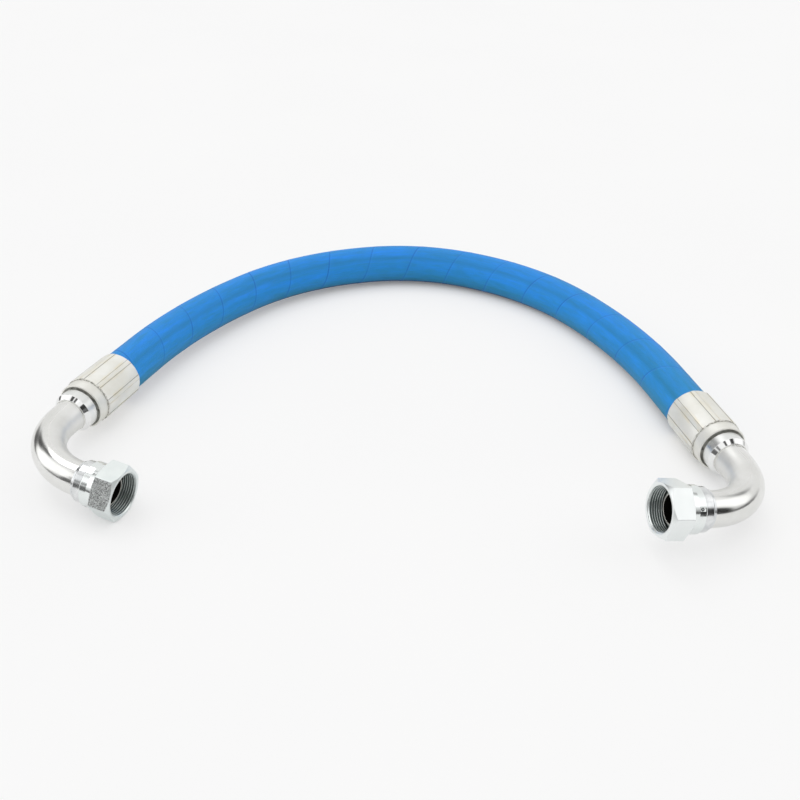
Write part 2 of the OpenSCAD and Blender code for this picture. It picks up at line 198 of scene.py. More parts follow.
def surface(name, rows, uv=None, closed=True, smooth=True, v_at=None):
    """A mesh from rows of points. Every row is a closed loop. With closed, the last row joins the first."""
    n_rows, n_cols = rows.shape[:2]
    me = bpy.data.meshes.new(name)
    index = np.arange(n_rows * n_cols).reshape(n_rows, n_cols)
    last = n_rows if closed else n_rows - 1
    i = np.arange(last)
    a = index[i]
    b = index[(i + 1) % n_rows]
    quads = np.stack([a, b, np.roll(b, -1, 1), np.roll(a, -1, 1)], axis=2).reshape(-1, 4)
    pts = rows.reshape(-1, 3)
    t = pts[quads[:, [0, 1, 2, 0, 2, 3]]].reshape(-1, 3, 3)
    volume = np.einsum("ij,ij->i", t[:, 0], np.cross(t[:, 1], t[:, 2])).sum()
    if volume < 0:
        quads = quads[:, ::-1]
    me.from_pydata(pts.tolist(), [], quads.tolist())
    if uv is not None:
        u = np.broadcast_to(uv[0], (n_rows, n_cols)).astype(float)
        v = np.arange(n_cols) / n_cols if v_at is None else np.asarray(v_at)
        v = np.append(v, v[0] + 1)
        u2 = np.vstack([u, u[:1] if not closed else uv[1] * np.ones((1, n_cols))])
        layer = me.uv_layers.new(name="UVMap")
        ii = np.repeat(i, n_cols)
        jj = np.tile(np.arange(n_cols), last)
        j1 = (jj + 1) % n_cols
        v0, v1 = v[jj], v[jj + 1]
        row1 = ii + 1
        corners = [
            (u2[ii, jj], v0),
            (u2[row1, jj], v0),
            (u2[row1, j1], v1),
            (u2[ii, j1], v1),
        ]
        if volume < 0:
            corners = corners[::-1]
        loops = np.stack([np.stack(c, axis=1) for c in corners], axis=1).reshape(-1, 2)
        layer.data.foreach_set("uv", loops.ravel())
    me.polygons.foreach_set("use_smooth", [smooth] * len(me.polygons))
    me.validate()
    me.update()
    o = bpy.data.objects.new(name, me)
    scene.collection.objects.link(o)
    return o


def rounded(poly, radius, seg=4, closed=True):
    """A polygon's corners as arcs, with a support point beside each arc, so that flat faces shade flat."""
    p = np.array(poly, float)
    n = len(p)
    radius = np.broadcast_to(radius, (n,))
    out = []
    for i in range(n):
        if not closed and i in (0, n - 1):
            out += [p[i]] * (seg + 3)
            continue
        a, b, c = p[i - 1], p[i], p[(i + 1) % n]
        la, lc = np.linalg.norm(a - b), np.linalg.norm(c - b)
        u, w = (a - b) / la, (c - b) / lc
        half = math.acos(max(-1.0, min(1.0, float(u @ w)))) / 2
        if abs(half - math.pi / 2) < 1e-3:
            out += [b] * (seg + 3)
            continue
        t = min(radius[i] / math.tan(half), 0.42 * la, 0.42 * lc)
        r = t * math.tan(half)
        mid = (u + w) / np.linalg.norm(u + w)
        centre = b + mid * (r / math.sin(half))
        s0, s1 = b + u * t - centre, b + w * t - centre
        sweep = math.acos(max(-1.0, min(1.0, float(s0 @ s1) / (r * r))))
        out.append(b + u * (t + min(0.06, 0.05 * la)))
        for k in range(seg + 1):
            f = k / seg
            v = (math.sin((1 - f) * sweep) * s0 + math.sin(f * sweep) * s1) / math.sin(sweep)
            out.append(centre + v)
        out.append(b + w * (t + min(0.06, 0.05 * lc)))
    return np.array(out)


def place(points, m):
    return points @ m[:3, :3].T + m[:3, 3]


def along(profile):
    """Distance along a closed profile, in metres, and its whole length."""
    d = np.linalg.norm(np.roll(profile, -1, 0) - profile, axis=1) * MM
    s = np.concatenate([[0], np.cumsum(d)])
    return s[:-1, None], s[-1]


def turned(name, poly, m, radius=0.25, cols=128, seg=4):
    """A turned piece: a closed section of (z, r) points about the z axis of m."""
    prof = rounded(poly, radius, seg)
    th = np.linspace(0, 2 * np.pi, cols, endpoint=False)
    z = np.broadcast_to(prof[:, :1], (len(prof), cols))
    r = prof[:, 1:]
    pts = np.stack([r * np.cos(th), r * np.sin(th), z], axis=2)
    return surface(name, place(pts, m), along(prof))


# ------------------------------------------------------------------ the hose


def route_points(step=0.8):
    """The hose's centreline, from inside one ferrule to inside the other: points, headings, stations."""
    first, last = ROUTE[0][1], ROUTE[-1][1]
    p = np.array(LEFT_MOUTH) - INSIDE_FERRULE * np.array(first)
    legs = [(INSIDE_FERRULE, first, first), *ROUTE, (INSIDE_FERRULE, last, last)]
    pts, dirs, st, s0 = [], [], [], -INSIDE_FERRULE
    for size, d0, d1 in legs:
        d0, d1 = np.array(d0), np.array(d1)
        if np.allclose(d0, d1):
            n = max(2, round(size / step))
            t = np.arange(n) / n
            pts += list(p + np.outer(t * size, d0))
            dirs += [d0] * n
            st += list(s0 + t * size)
            p = p + size * d0
            s0 += size
        else:
            a0, a1 = math.atan2(d0[1], d0[0]), math.atan2(d1[1], d1[0])
            length = abs(a1 - a0) * size
            n = max(2, round(length / step))
            a = a0 + (a1 - a0) * np.arange(n) / n
            c = p + size * np.array([d0[1], -d0[0]])
            pts += list(c - size * np.stack([np.sin(a), -np.cos(a)], axis=1))
            dirs += list(np.stack([np.cos(a), np.sin(a)], axis=1))
            st += list(s0 + (a0 - a) * size)
            p = c - size * np.array([d1[1], -d1[0]])
            s0 += length
    pts.append(p)
    dirs.append(np.array(last))
    st.append(s0)
    return np.array(pts), np.array(dirs), np.array(st)


# Where turn n of the wrap crosses the inner side of the arch, as a + b n + c n^2 in mm
WRAP = (44.7, 48.48, 0.1724)
WRAP_PITCH = 50.0


def wrap_turns(s):
    """How many turns of the wrap have gone by at the station s."""
    a, b, c = WRAP
    return (-b + np.sqrt(np.maximum(1.0, b * b + 4 * c * (s - a)))) / (2 * c)


def make_hose():
    """The cover with its wrapped steps, the cord's path, and the free length from rim to rim in mm."""
    p, d, s = route_points()
    total = s[-1] - INSIDE_FERRULE
    cols = 96
    th = np.linspace(0, 2 * np.pi, cols, endpoint=False)
    beyond = np.maximum(0, np.maximum(-s, s - total))
    r = HOSE_R - (HOSE_R - SQUEEZED_R) * beyond / MOUTH_LEN - 0.02
    side = np.stack([d[:, 1], -d[:, 0], np.zeros(len(d))], axis=1)
    centre = np.column_stack([p, np.zeros(len(p))])
    # the wrap's overlap: a low step that winds round the hose
    turns = wrap_turns(s)
    f = (turns[:, None] - th[None] / (2 * np.pi)) % 1.0
    dist = f * WRAP_PITCH
    lip = 0.14 * np.exp(-dist / 4.0) - 0.12 * np.exp(-(((WRAP_PITCH - dist) / 0.8) ** 2))
    rr = r[:, None] + lip * (beyond[:, None] == 0)
    up = np.array([0, 0, 1.0])
    pts = (
        centre[:, None]
        + rr[..., None] * np.cos(th)[None, :, None] * side[:, None]
        + rr[..., None] * np.sin(th)[None, :, None] * up
    )
    rows = laid(pts.reshape(-1, 3)).reshape(pts.shape)
    o = surface("hose_wrapped_cover", rows, (turns[:, None], 0), closed=False)
    # close both ends, which sit inside the ferrules
    bm = bmesh.new()
    bm.from_mesh(o.data)
    edges = [e for e in bm.edges if e.is_boundary]
    bmesh.ops.holes_fill(bm, edges=edges)
    bmesh.ops.recalc_face_normals(bm, faces=bm.faces)
    bm.to_mesh(o.data)
    bm.free()
    path = laid(centre)
    return o, path[::4], total


# ------------------------------------------------------------------ the fittings


def make_ferrule(side):
    """The ferrule: between two dies a raised strip stays, with an edge on each side."""
    die_angle = 360 / DIE_COUNT
    half = math.degrees(math.asin(DIE_STRIP / 2 / CRIMP_R))
    e = 0.45
    th, rise = [], []
    for i in range(DIE_COUNT):
        c = DIE_CLOCK + die_angle * i
        for a, h in (
            (-half - e, 0.0),
            (-half, 0.0),
            (-half + e * 0.6, 0.28),
            (-half + e * 1.6, DIE_STRIP_RISE),
            (-half * 0.4, DIE_STRIP_RISE),
            (half * 0.4, DIE_STRIP_RISE),
            (half - e * 1.6, DIE_STRIP_RISE),
            (half - e * 0.6, 0.28),
            (half, 0.0),
            (half + e, 0.0),
        ):
            th.append(c + a)
            rise.append(h)
        for a in np.linspace(half + e, die_angle - half - e, 16)[1:-1]:
            th.append(c + a)
            rise.append(0.0)
    th, rise = np.radians(th), np.array(rise)
    cols = []
    for t, h in zip(th, rise):
        poly = [
            (0, 19.8),
            (0, CRIMP_R + 0.9 * h),
            (CRIMP_TO - 0.6, CRIMP_R + h),
            (CRIMP_TO, CRIMP_R + 0.2 * h),
            (CRIMP_TO + 0.05, NOSE_R),
            (NOSE_TO - 0.7, NOSE_R),
            (NOSE_TO, NOSE_R - 0.7),
            (NOSE_TO, 19.35),
            (56.8, 18.0),
            (56.8, 15.05),
            (51.0, 15.05),
            (51.0, 18.45),
            (MOUTH_LEN, 18.45),
        ]
        rad = [0.35, 0.45, 0.25, 0.2, 0.12, 0.2, 0.2, 0.15, 0.3, 0.2, 0.2, 0.2, 0.5]
        prof = rounded(poly, rad, 4)
        z, r = prof.T
        cols.append(np.column_stack([r * math.cos(t), r * math.sin(t), z]))
    pts = place(np.stack(cols, axis=1), fitting_frame(side))
    return surface(f"{side}_crimped_ferrule", pts, along(prof), v_at=th / (2 * np.pi))


def make_tail(side):
    """The hose tail: a grooved stem in the hose, then a flange, a collar and a cone."""
    stem_r, bore_r, flange_at = 12.65, 9.8, 49.3
    grooves, groove, grooves_from = 6, 2, 6
    poly = [(1.5, bore_r), (1.5, stem_r - 0.5), (2.5, stem_r)]
    pitch = (flange_at - grooves_from) / grooves
    for i in range(grooves):
        z = grooves_from + (i + 0.5) * pitch - groove / 2
        poly += [(z, stem_r), (z, stem_r - 0.5), (z + groove, stem_r - 0.5), (z + groove, stem_r)]
    poly += [
        (flange_at, stem_r),
        (flange_at, 16.4),
        (50.95, 16.4),
        (50.95, 15.0),
        (COLLAR_FROM, 15.0),
        (COLLAR_FROM, COLLAR_R),
        (COLLAR_TO, COLLAR_R),
        (TAIL_END, 15.2),
        (TAIL_END, TUBE_R + 0.05),
        (66.25, TUBE_R + 0.05),
        (66.25, TUBE_BORE_R),
        (64.55, bore_r),
    ]
    return turned(f"{side}_tail_collar", poly, fitting_frame(side), radius=0.22)


def make_elbow(side):
    """The bent tube. Its outer wall comes first in the mesh, then its inner wall."""
    c, h = [], []
    for z in np.linspace(66.3, BEND_AT, 12, endpoint=False):
        c.append((0, 0, z))
        h.append((0, 0, 1))
    for a in np.linspace(0, np.pi / 2, 72):
        c.append((BEND_R - BEND_R * math.cos(a), 0, BEND_AT + BEND_R * math.sin(a)))
        h.append((math.sin(a), 0, math.cos(a)))
    for x in np.linspace(0, 11.6, 12)[1:]:
        c.append((BEND_R + x, 0, BEND_AT + BEND_R))
        h.append((1, 0, 0))
    c, h = np.array(c, float), np.array(h, float)
    side_y = np.array([0, 1.0, 0])
    out = np.cross(h, side_y)
    th = np.linspace(0, 2 * np.pi, 128, endpoint=False)
    # bending leaves the tube slightly oval
    x = c[:, 0] / BEND_R
    oval = 0.18 * np.clip(x, 0, 1) * np.clip(1 - np.abs(x - 0.5), 0, 1)

    def ring(r):
        y = (r + oval)[:, None] * np.cos(th)
        x = (r - oval)[:, None] * np.sin(th)
        return c[:, None] + y[..., None] * side_y + x[..., None] * out[:, None]

    rows = np.concatenate([ring(TUBE_R), ring(TUBE_BORE_R)[::-1]])
    d = np.linalg.norm(np.diff(rows[:, 0], axis=0), axis=1) * MM
    s = np.concatenate([[0], np.cumsum(d)])
    return surface(f"{side}_swept_tube", place(rows, fitting_frame(side)), (s[:, None], s[-1]))


def make_fillets(side):
    """The braze at each end of the tube, slightly uneven round the tube."""
    r, b = TUBE_R + 0.02, 0.6
    quarter = np.linspace(0, math.pi / 2, 8)
    prof = np.array([(0.0, r), *zip(b * (1 - np.cos(quarter)), r + b * (1 - np.sin(quarter)))])
    th = np.linspace(0, 2 * np.pi, 128, endpoint=False)
    wave = 1 + 0.12 * np.sin(3 * th + 1) + 0.08 * np.sin(7 * th)
    ends = (
        ("tail", fitting_frame(side), TAIL_END, 1),
        ("nipple", port_frame(side), NIPPLE_END, -1),
    )
    obs = []
    for end, m, z0, sign in ends:
        z = z0 + sign * prof[:, :1] * wave
        rr = np.broadcast_to(prof[:, 1:], z.shape)
        pts = np.stack([rr * np.cos(th), rr * np.sin(th), z], axis=2)
        obs.append(surface(f"{side}_{end}_fillet", place(pts, m), along(prof)))
    return obs


def make_nipple(side):
    """The nipple: a 24 degree cone, a body with the wire's groove, a ring and a taper to the tube."""
    slope = math.tan(math.radians(12))
    groove = 1.15
    poly = [
        (CONE_TIP, NIPPLE_BORE_R),
        (CONE_TIP, CONE_TIP_R),
        (CONE_TO, CONE_TIP_R + (CONE_TIP - CONE_TO) * slope),
        (CONE_TO, NIPPLE_R),
        (WIRE_AT + groove, NIPPLE_R),
        (WIRE_AT + groove * 0.6, NIPPLE_R - 0.75),
        (WIRE_AT, NIPPLE_R - 1.0),
        (WIRE_AT - groove * 0.6, NIPPLE_R - 0.75),
        (WIRE_AT - groove, NIPPLE_R),
        (RING_FROM, NIPPLE_R),
        (RING_FROM, RING_R),
        (RING_TO, RING_R),
        (RING_TO - 1.2, 16.0),
        (NIPPLE_END, 15.6),
        (NIPPLE_END, TUBE_R + 0.05),
        (RING_FROM - 0.05, TUBE_R + 0.05),
        (RING_FROM - 0.05, NIPPLE_BORE_R),
    ]
    rad = [0.3, 0.3, 0.2, 0.2, 0.1, 0.2, 0.2, 0.2, 0.1, 0.1, 0.5, 0.5, 0.4, 0.25, 0.1, 0.1, 0.1]
    return turned(f"{side}_cone_nose", poly, port_frame(side), radius=rad)


def make_wire(side):
    """The open wire ring that holds the nut on its nipple, in the two grooves."""
    around = np.radians(WIRE_HOLE_TURN + np.linspace(8, 348, 120))
    sides = 16
    section = np.linspace(0, 2 * np.pi, sides, endpoint=False)
    r = WIRE_RING_R + WIRE_R * np.cos(section)
    rows = np.stack(
        [
            np.outer(np.cos(around), r),
            np.outer(np.sin(around), r),
            np.broadcast_to(WIRE_AT + WIRE_R * np.sin(section), (len(around), len(r))),
        ],
        axis=2,
    )
    # each end closes over a smaller ring to a point
    middle = rows.mean(axis=1, keepdims=True)
    point = np.repeat(middle, sides, axis=1)
    small = middle + 0.8 * (rows - middle)
    rows = np.concatenate([point[:1], small[:1], rows, small[-1:], point[-1:]])
    o = surface(f"{side}_spring_wire", place(rows, port_frame(side)), closed=False)
    bm = bmesh.new()
    bm.from_mesh(o.data)
    bmesh.ops.remove_doubles(bm, verts=bm.verts, dist=1e-7)
    bm.to_mesh(o.data)
    bm.free()
    return o


def hex_radius(t, corner=0.5):
    """Radius of a hexagon with slightly rounded corners at the angle t from a corner, in degrees."""
    a = (t % 60) - 30
    r = ACROSS_FLATS / 2 / math.cos(math.radians(a))
    # the round of a corner: a circle inside both flats
    centre = (ACROSS_FLATS / 2 - corner) / math.cos(math.radians(30))
    b = math.radians(30 - abs(a))
    arc = centre * math.cos(b) + math.sqrt(max(0.0, corner**2 - (centre * math.sin(b)) ** 2))
    tangent = math.atan2(corner * math.sin(math.radians(30)), centre + corner * math.cos(math.radians(30)))
    return arc if b < tangent else r


def make_nut(side):
    """The nut as one closed section per angle: hexagon, neck, bore with the wire's groove, and thread."""
    clock = CLOCK[side]
    corner_steps = (-0.9, -0.6, -0.35, -0.15, 0.15, 0.35, 0.6, 0.9)
    th = {round(float(t), 3) for t in np.arange(0, 360, 2.0)}
    th |= {round((60 * i + d) % 360, 3) for i in range(6) for d in corner_steps}
    th = np.array(sorted(th))
    corner_r, cone_r = ACROSS_FLATS / math.sqrt(3), 19.5
    groove_r = NUT_BORE_R + 1.0
    cols = []
    for t in th:
        hr = hex_radius(t)
        # both ends of the hexagon are turned to a shallow cone
        zf = -2.2 * (hr - FACE_R) / (corner_r - FACE_R)
        zr = HEX_BACK + 1.4 * (hr - cone_r) / (corner_r - cone_r)
        outer = [
            (0.0, 18.2),
            (0.0, FACE_R),
            (zf, hr),
            (zr, hr),
            (HEX_BACK, cone_r),
            (NECK_FROM, NECK_R),
            (NUT_BACK, NECK_R),
            (NUT_BACK, NUT_BORE_R),
            (WIRE_AT - 1.15, NUT_BORE_R),
            (WIRE_AT - 0.7, groove_r - 0.25),
            (WIRE_AT, groove_r),
            (WIRE_AT + 0.7, groove_r - 0.25),
            (WIRE_AT + 1.15, NUT_BORE_R),
            (-16.7, NUT_BORE_R),
            (-14.6, UNDERCUT_R),
            (-14.0, UNDERCUT_R),
        ]
        rad = [0.15, 0.25, 0.3, 0.3, 0.3, 0.4, 0.55, 0.15, 0.1, 0.2, 0.3, 0.2, 0.1, 0.2, 0.2, 0.2]
        # an open end comes back as several copies of its point, of which one stays
        prof = rounded(outer, rad, 4, closed=False)[6:-6]
        # the thread: a 60 degree form that winds to the right
        z = np.linspace(-13.9, -0.05, 140)
        phase = (z / PITCH - (t + clock) / 360.0) % 1.0
        tri = 1 - np.abs(2 * phase - 1)
        depth = np.clip((tri - 0.12) / 0.70, 0, 1)
        r = THREAD_TOP + (THREAD_ROOT - THREAD_TOP) * depth
        # the mouth is chamfered, and the thread runs out into the undercut
        r = np.maximum(r, 18.2 + z)
        tail = np.clip((-z - 12.4) / 1.3, 0, 1)
        r = r * (1 - tail) + np.maximum(r, UNDERCUT_R) * tail
        cols.append(np.vstack([prof, np.column_stack([z, r])]))
    arr = np.stack(cols, axis=1)
    a = np.radians(th + clock)
    pts = np.stack([arr[..., 1] * np.cos(a), arr[..., 1] * np.sin(a), arr[..., 0]], axis=2)
    return surface(f"{side}_hex_nut", place(pts, port_frame(side)), along(arr[:, 0]))


def cut_wire_hole(nut, side):
    """The small hole in the neck through which the thrust wire was fed."""
    bm = bmesh.new()
    size = dict(radius1=WIRE_HOLE_R, radius2=WIRE_HOLE_R, depth=8)
    bmesh.ops.create_cone(bm, cap_ends=True, segments=32, **size)
    outward = Matrix.Translation((19.3, 0, 0)) @ Matrix.Rotation(math.pi / 2, 4, "Y")
    bm.transform(Matrix.Rotation(math.radians(WIRE_HOLE_TURN), 4, "Z") @ outward)
    bm.transform(Matrix.Translation((0, 0, WIRE_AT)))
    me = bpy.data.meshes.new("cutter")
    bm.to_mesh(me)
    bm.free()
    cutter = bpy.data.objects.new("cutter", me)
    scene.collection.objects.link(cutter)
    cutter.matrix_world = Matrix(port_frame(side).tolist())
    bpy.context.view_layer.update()
    mod = nut.modifiers.new("hole", "BOOLEAN")
    mod.operation = "DIFFERENCE"
    mod.object = cutter
    mod.solver = "EXACT"
    dg = bpy.context.evaluated_depsgraph_get()
    baked = bpy.data.meshes.new_from_object(nut.evaluated_get(dg))
    nut.modifiers.clear()
    nut.data = baked
    bpy.data.objects.remove(cutter)


def face_places(o, m):
    """The middle of each face in the frame m: z, distance from the z axis, and angle in degrees."""
    mid = np.empty(len(o.data.polygons) * 3)
    o.data.polygons.foreach_get("center", mid)
    x, y, z = place(mid.reshape(-1, 3), np.linalg.inv(m)).T
    return z, np.hypot(x, y), np.degrees(np.arctan2(y, x))


def paint(o, index, *materials):
    """Give each face the material with its index, after adding materials to the piece's own."""
    for mat in materials:
        o.data.materials.append(mat)
    o.data.polygons.foreach_set("material_index", np.asarray(index).astype(np.int32))
    o.data.update()


def finish_nipple(nipple, side):
    """Only the very front of the cone is bright: its flank and bore get painted shade, for the dark inside
    the nut.
    """
    z, r, _ = face_places(nipple, port_frame(side))
    outside = r > NIPPLE_BORE_R + 0.1
    front = (z > CONE_TIP - 0.35) & outside
    flank = (z > CONE_TO - 1.5) & outside & ~front
    ring = (z < WIRE_AT + 0.6) & (r > 15.0)
    paint(nipple, front + 2 * flank + 3 * ~outside + 4 * ring, M_NOSE, M_THREAD_PAINTED_SHADE, M_BORE_PAINTED_SHADE, M_RING)


def finish_tail(tail, side):
    """The collar's round is satin, its cone is bright."""
    z, _, _ = face_places(tail, fitting_frame(side))
    paint(tail, (z > COLLAR_FROM - 0.1) & (z < COLLAR_TO - 0.05), M_COLLAR)


def finish_elbow(elbow):
    """The tube's inner wall, the second half of its faces, is painted dark as shade."""
    n = len(elbow.data.polygons)
    paint(elbow, np.arange(n) >= n // 2, M_BORE_PAINTED_SHADE)


def finish_nut(nut, side):
    """Painted shade in the thread, lighter on its crests, a neck smoother than the flats, and one grained
    flat.
    """
    z, r, angle = face_places(nut, port_frame(side))
    # painted shade over the thread, lighter on its crests
    inside = (r < UNDERCUT_R + 0.02) & (z > -16.9) & (z < -1.35)
    crest = inside & (r < THREAD_TOP + 0.30)
    neck = (z < HEX_BACK + 0.1) & (r > NECK_R - 0.2)
    index = inside + 2 * crest + 2 * neck
    mats = [M_THREAD_PAINTED_SHADE, M_NECK, M_CREST_PAINTED_LIGHTER_SHADE]
    if side == "left":
        turn = (angle - CLOCK[side] - GRAINED_FLAT + 180) % 360 - 180
        index += 4 * ((np.abs(turn) < 29.2) & (r > 20.3) & (z > HEX_BACK + 0.4) & (z < -1.6))
        mats.append(M_GRAIN)
    paint(nut, index, *mats)


# ------------------------------------------------------------------ materials


def material(name):
    m = bpy.data.materials.new(name)
    m.use_nodes = True
    nt = m.node_tree
    nt.nodes.clear()
    out = nt.nodes.new("ShaderNodeOutputMaterial")
    sh = nt.nodes.new("ShaderNodeBsdfPrincipled")
    nt.links.new(sh.outputs[0], out.inputs[0])
    return m, nt, sh


def noise(nt, coord, scale, detail=3, rough=0.5, stretch=None):
    mp = nt.nodes.new("ShaderNodeMapping")
    if stretch:
        mp.inputs["Scale"].default_value = stretch
    nt.links.new(coord, mp.inputs["Vector"])
    n = nt.nodes.new("ShaderNodeTexNoise")
    n.inputs["Scale"].default_value = scale
    n.inputs["Detail"].default_value = detail
    n.inputs["Roughness"].default_value = rough
    nt.links.new(mp.outputs[0], n.inputs["Vector"])
    return n.outputs["Fac"]


def ramp(nt, fac, stops):
    r = nt.nodes.new("ShaderNodeValToRGB")
    while len(r.color_ramp.elements) < len(stops):
        r.color_ramp.elements.new(0.5)
    for e, (pos, col) in zip(r.color_ramp.elements, stops):
        e.position = pos
        e.color = (*col, 1)
    nt.links.new(fac, r.inputs[0])
    return r.outputs[0]


def grey(v):
    return (v, v, v)


def bump(nt, sh, height, strength, distance):
    b = nt.nodes.new("ShaderNodeBump")
    b.inputs["Strength"].default_value = strength
    b.inputs["Distance"].default_value = distance
    nt.links.new(height, b.inputs["Height"])
    nt.links.new(b.outputs[0], sh.inputs["Normal"])


def shader(m):
    return next(n for n in m.node_tree.nodes if n.type == "BSDF_PRINCIPLED")


def zinc(name, lo, hi, rough, grain=900.0, grain_bump=0.00002, cloud=40.0):
    """Plated metal: clouded between two tones and two roughnesses, with a fine grain."""
    m, nt, sh = material(name)
    tc = nt.nodes.new("ShaderNodeTexCoord")
    obj = tc.outputs["Object"]
    sh.inputs["Metallic"].default_value = 1.0
    col = ramp(nt, noise(nt, obj, cloud, 4, 0.6), [(0.3, lo), (0.7, hi)])
    nt.links.new(col, sh.inputs["Base Color"])
    r = noise(nt, obj, cloud * 2.3, 4, 0.6)
    r = ramp(nt, r, [(0.3, grey(rough[0])), (0.7, grey(rough[1]))])
    nt.links.new(r, sh.inputs["Roughness"])
    bump(nt, sh, noise(nt, obj, grain, 3, 0.6), 0.5, grain_bump)
    return m


def sums(nt, op, a, b=None):
    """One step of arithmetic. Each of a and b is a number or an output."""
    n = nt.nodes.new("ShaderNodeMath")
    n.operation = op
    for i, v in enumerate((a, b)):
        if v is None:
            continue
        if isinstance(v, (int, float)):
            n.inputs[i].default_value = v
        else:
            nt.links.new(v, n.inputs[i])
    return n.outputs[0]


def times(nt, a, b):
    return sums(nt, "MULTIPLY", a, b)


def split(nt, vec):
    n = nt.nodes.new("ShaderNodeSeparateXYZ")
    nt.links.new(vec, n.inputs[0])
    return n.outputs


def blend(nt, fac, a, b, mode="MIX"):
    n = nt.nodes.new("ShaderNodeMix")
    n.data_type = "RGBA"
    n.blend_type = mode
    for key, v in (("Factor", fac), ("A", a), ("B", b)):
        if isinstance(v, (int, float)):
            n.inputs[key].default_value = v
        elif isinstance(v, tuple):
            n.inputs[key].default_value = (*v, 1)
        else:
            nt.links.new(v, n.inputs[key])
    return n.outputs["Result"]


def line(nt, x, centre, half):
    """1 on a line at x = centre, falling to 0 at the distance half."""
    d = sums(nt, "ABSOLUTE", sums(nt, "SUBTRACT", x, centre))
    return sums(nt, "MAXIMUM", sums(nt, "SUBTRACT", 1.0, sums(nt, "DIVIDE", d, half)), 0.0)


def hose_blue():
    """Blue rubber that was wrapped in cloth. u counts the wrap's turns, v goes round the hose."""
    m, nt, sh = material("blue_wrapped_rubber")
    tc = nt.nodes.new("ShaderNodeTexCoord")
    uv = tc.outputs["UV"]
    u, v, _ = split(nt, uv)
    # faint bands along the hose, from the rollers that smooth the wrap
    bands = noise(nt, uv, 1.0, 3, 0.6, stretch=(0.35, 9.0, 1))
    col = ramp(
        nt,
        bands,
        [(0.30, (0.022, 0.281, 0.680)), (0.5, (0.024, 0.300, 0.826)), (0.70, (0.025, 0.314, 0.980))],
    )
    # each turn of the cloth tape has its own tone, and the tape's threads show as fine streaks
    streaks = noise(nt, uv, 1.0, 4, 0.65, stretch=(2.6, 34.0, 1))
    tones = [(0.25, (1.10, 0.93, 0.80)), (0.5, grey(1.0)), (0.75, (1.0, 1.07, 1.16))]
    col = blend(nt, 1.0, col, ramp(nt, streaks, tones), "MULTIPLY")
    # painted light and shade round the hose, from the side inside the arch (0) over the top (0.25) to the
    # underside, darkest where the underside meets the floor
    painted_light_shade_round = [
        (0.0, (0.86, 0.94, 0.82)),
        (0.03, (0.89, 0.97, 0.93)),
        (0.085, (1.0, 0.985, 0.975)),
        (0.11, (0.82, 0.94, 0.93)),
        (0.19, (0.80, 0.90, 0.92)),
        (0.25, (0.85, 0.95, 0.94)),
        (0.32, (0.95, 0.90, 0.87)),
        (0.50, (0.72, 0.85, 0.85)),
        (0.80, (0.10, 0.12, 0.12)),
        (0.862, (0.24, 0.26, 0.24)),
        (0.886, (0.70, 0.73, 0.52)),
        (0.915, (0.76, 0.80, 0.58)),
        (0.97, (0.88, 0.90, 0.74)),
        (1.0, (0.86, 0.94, 0.82)),
    ]
    col = blend(nt, 1.0, col, ramp(nt, v, painted_light_shade_round), "MULTIPLY")
    # one darker, greener band all along the hose, at a fixed place round it
    col = blend(nt, times(nt, line(nt, v, 0.118, 0.035), 0.55), col, (0.020, 0.225, 0.500))
    # the last turns before the right fitting are duller
    end = ramp(nt, sums(nt, "DIVIDE", u, 16.0), [(0.80, grey(1.0)), (0.92, (1.0, 0.96, 0.80))])
    col = blend(nt, 1.0, col, end, "MULTIPLY")
    # each turn's edge is a thin dark line with a paler one beside it
    f = sums(nt, "FRACT", sums(nt, "SUBTRACT", u, v))
    seam = line(nt, f, 0.986, 0.020)
    lip = line(nt, f, 0.020, 0.028)
    weak = noise(nt, uv, 1.0, 2, 0.5, stretch=(1.7, 2.3, 1))
    weak = ramp(nt, weak, [(0.38, grey(0.45)), (0.62, grey(1.0))])
    col = blend(nt, times(nt, lip, 0.14), col, (0.060, 0.330, 0.900))
    col = blend(nt, times(nt, times(nt, seam, weak), 0.9), col, (0.006, 0.120, 0.560))
    nt.links.new(col, sh.inputs["Base Color"])
    sh.inputs["Roughness"].default_value = 0.58
    sh.inputs["Specular IOR Level"].default_value = 0.28
    # the cloth's weave: about 0.5 mm threads both ways
    weave_a = noise(nt, uv, 1.0, 1, 0.5, stretch=(110, 60, 1))
    weave_b = noise(nt, uv, 1.0, 1, 0.5, stretch=(18, 260, 1))
    bump(nt, sh, sums(nt, "ADD", weave_a, weave_b), 0.45, 0.0003)
    return m


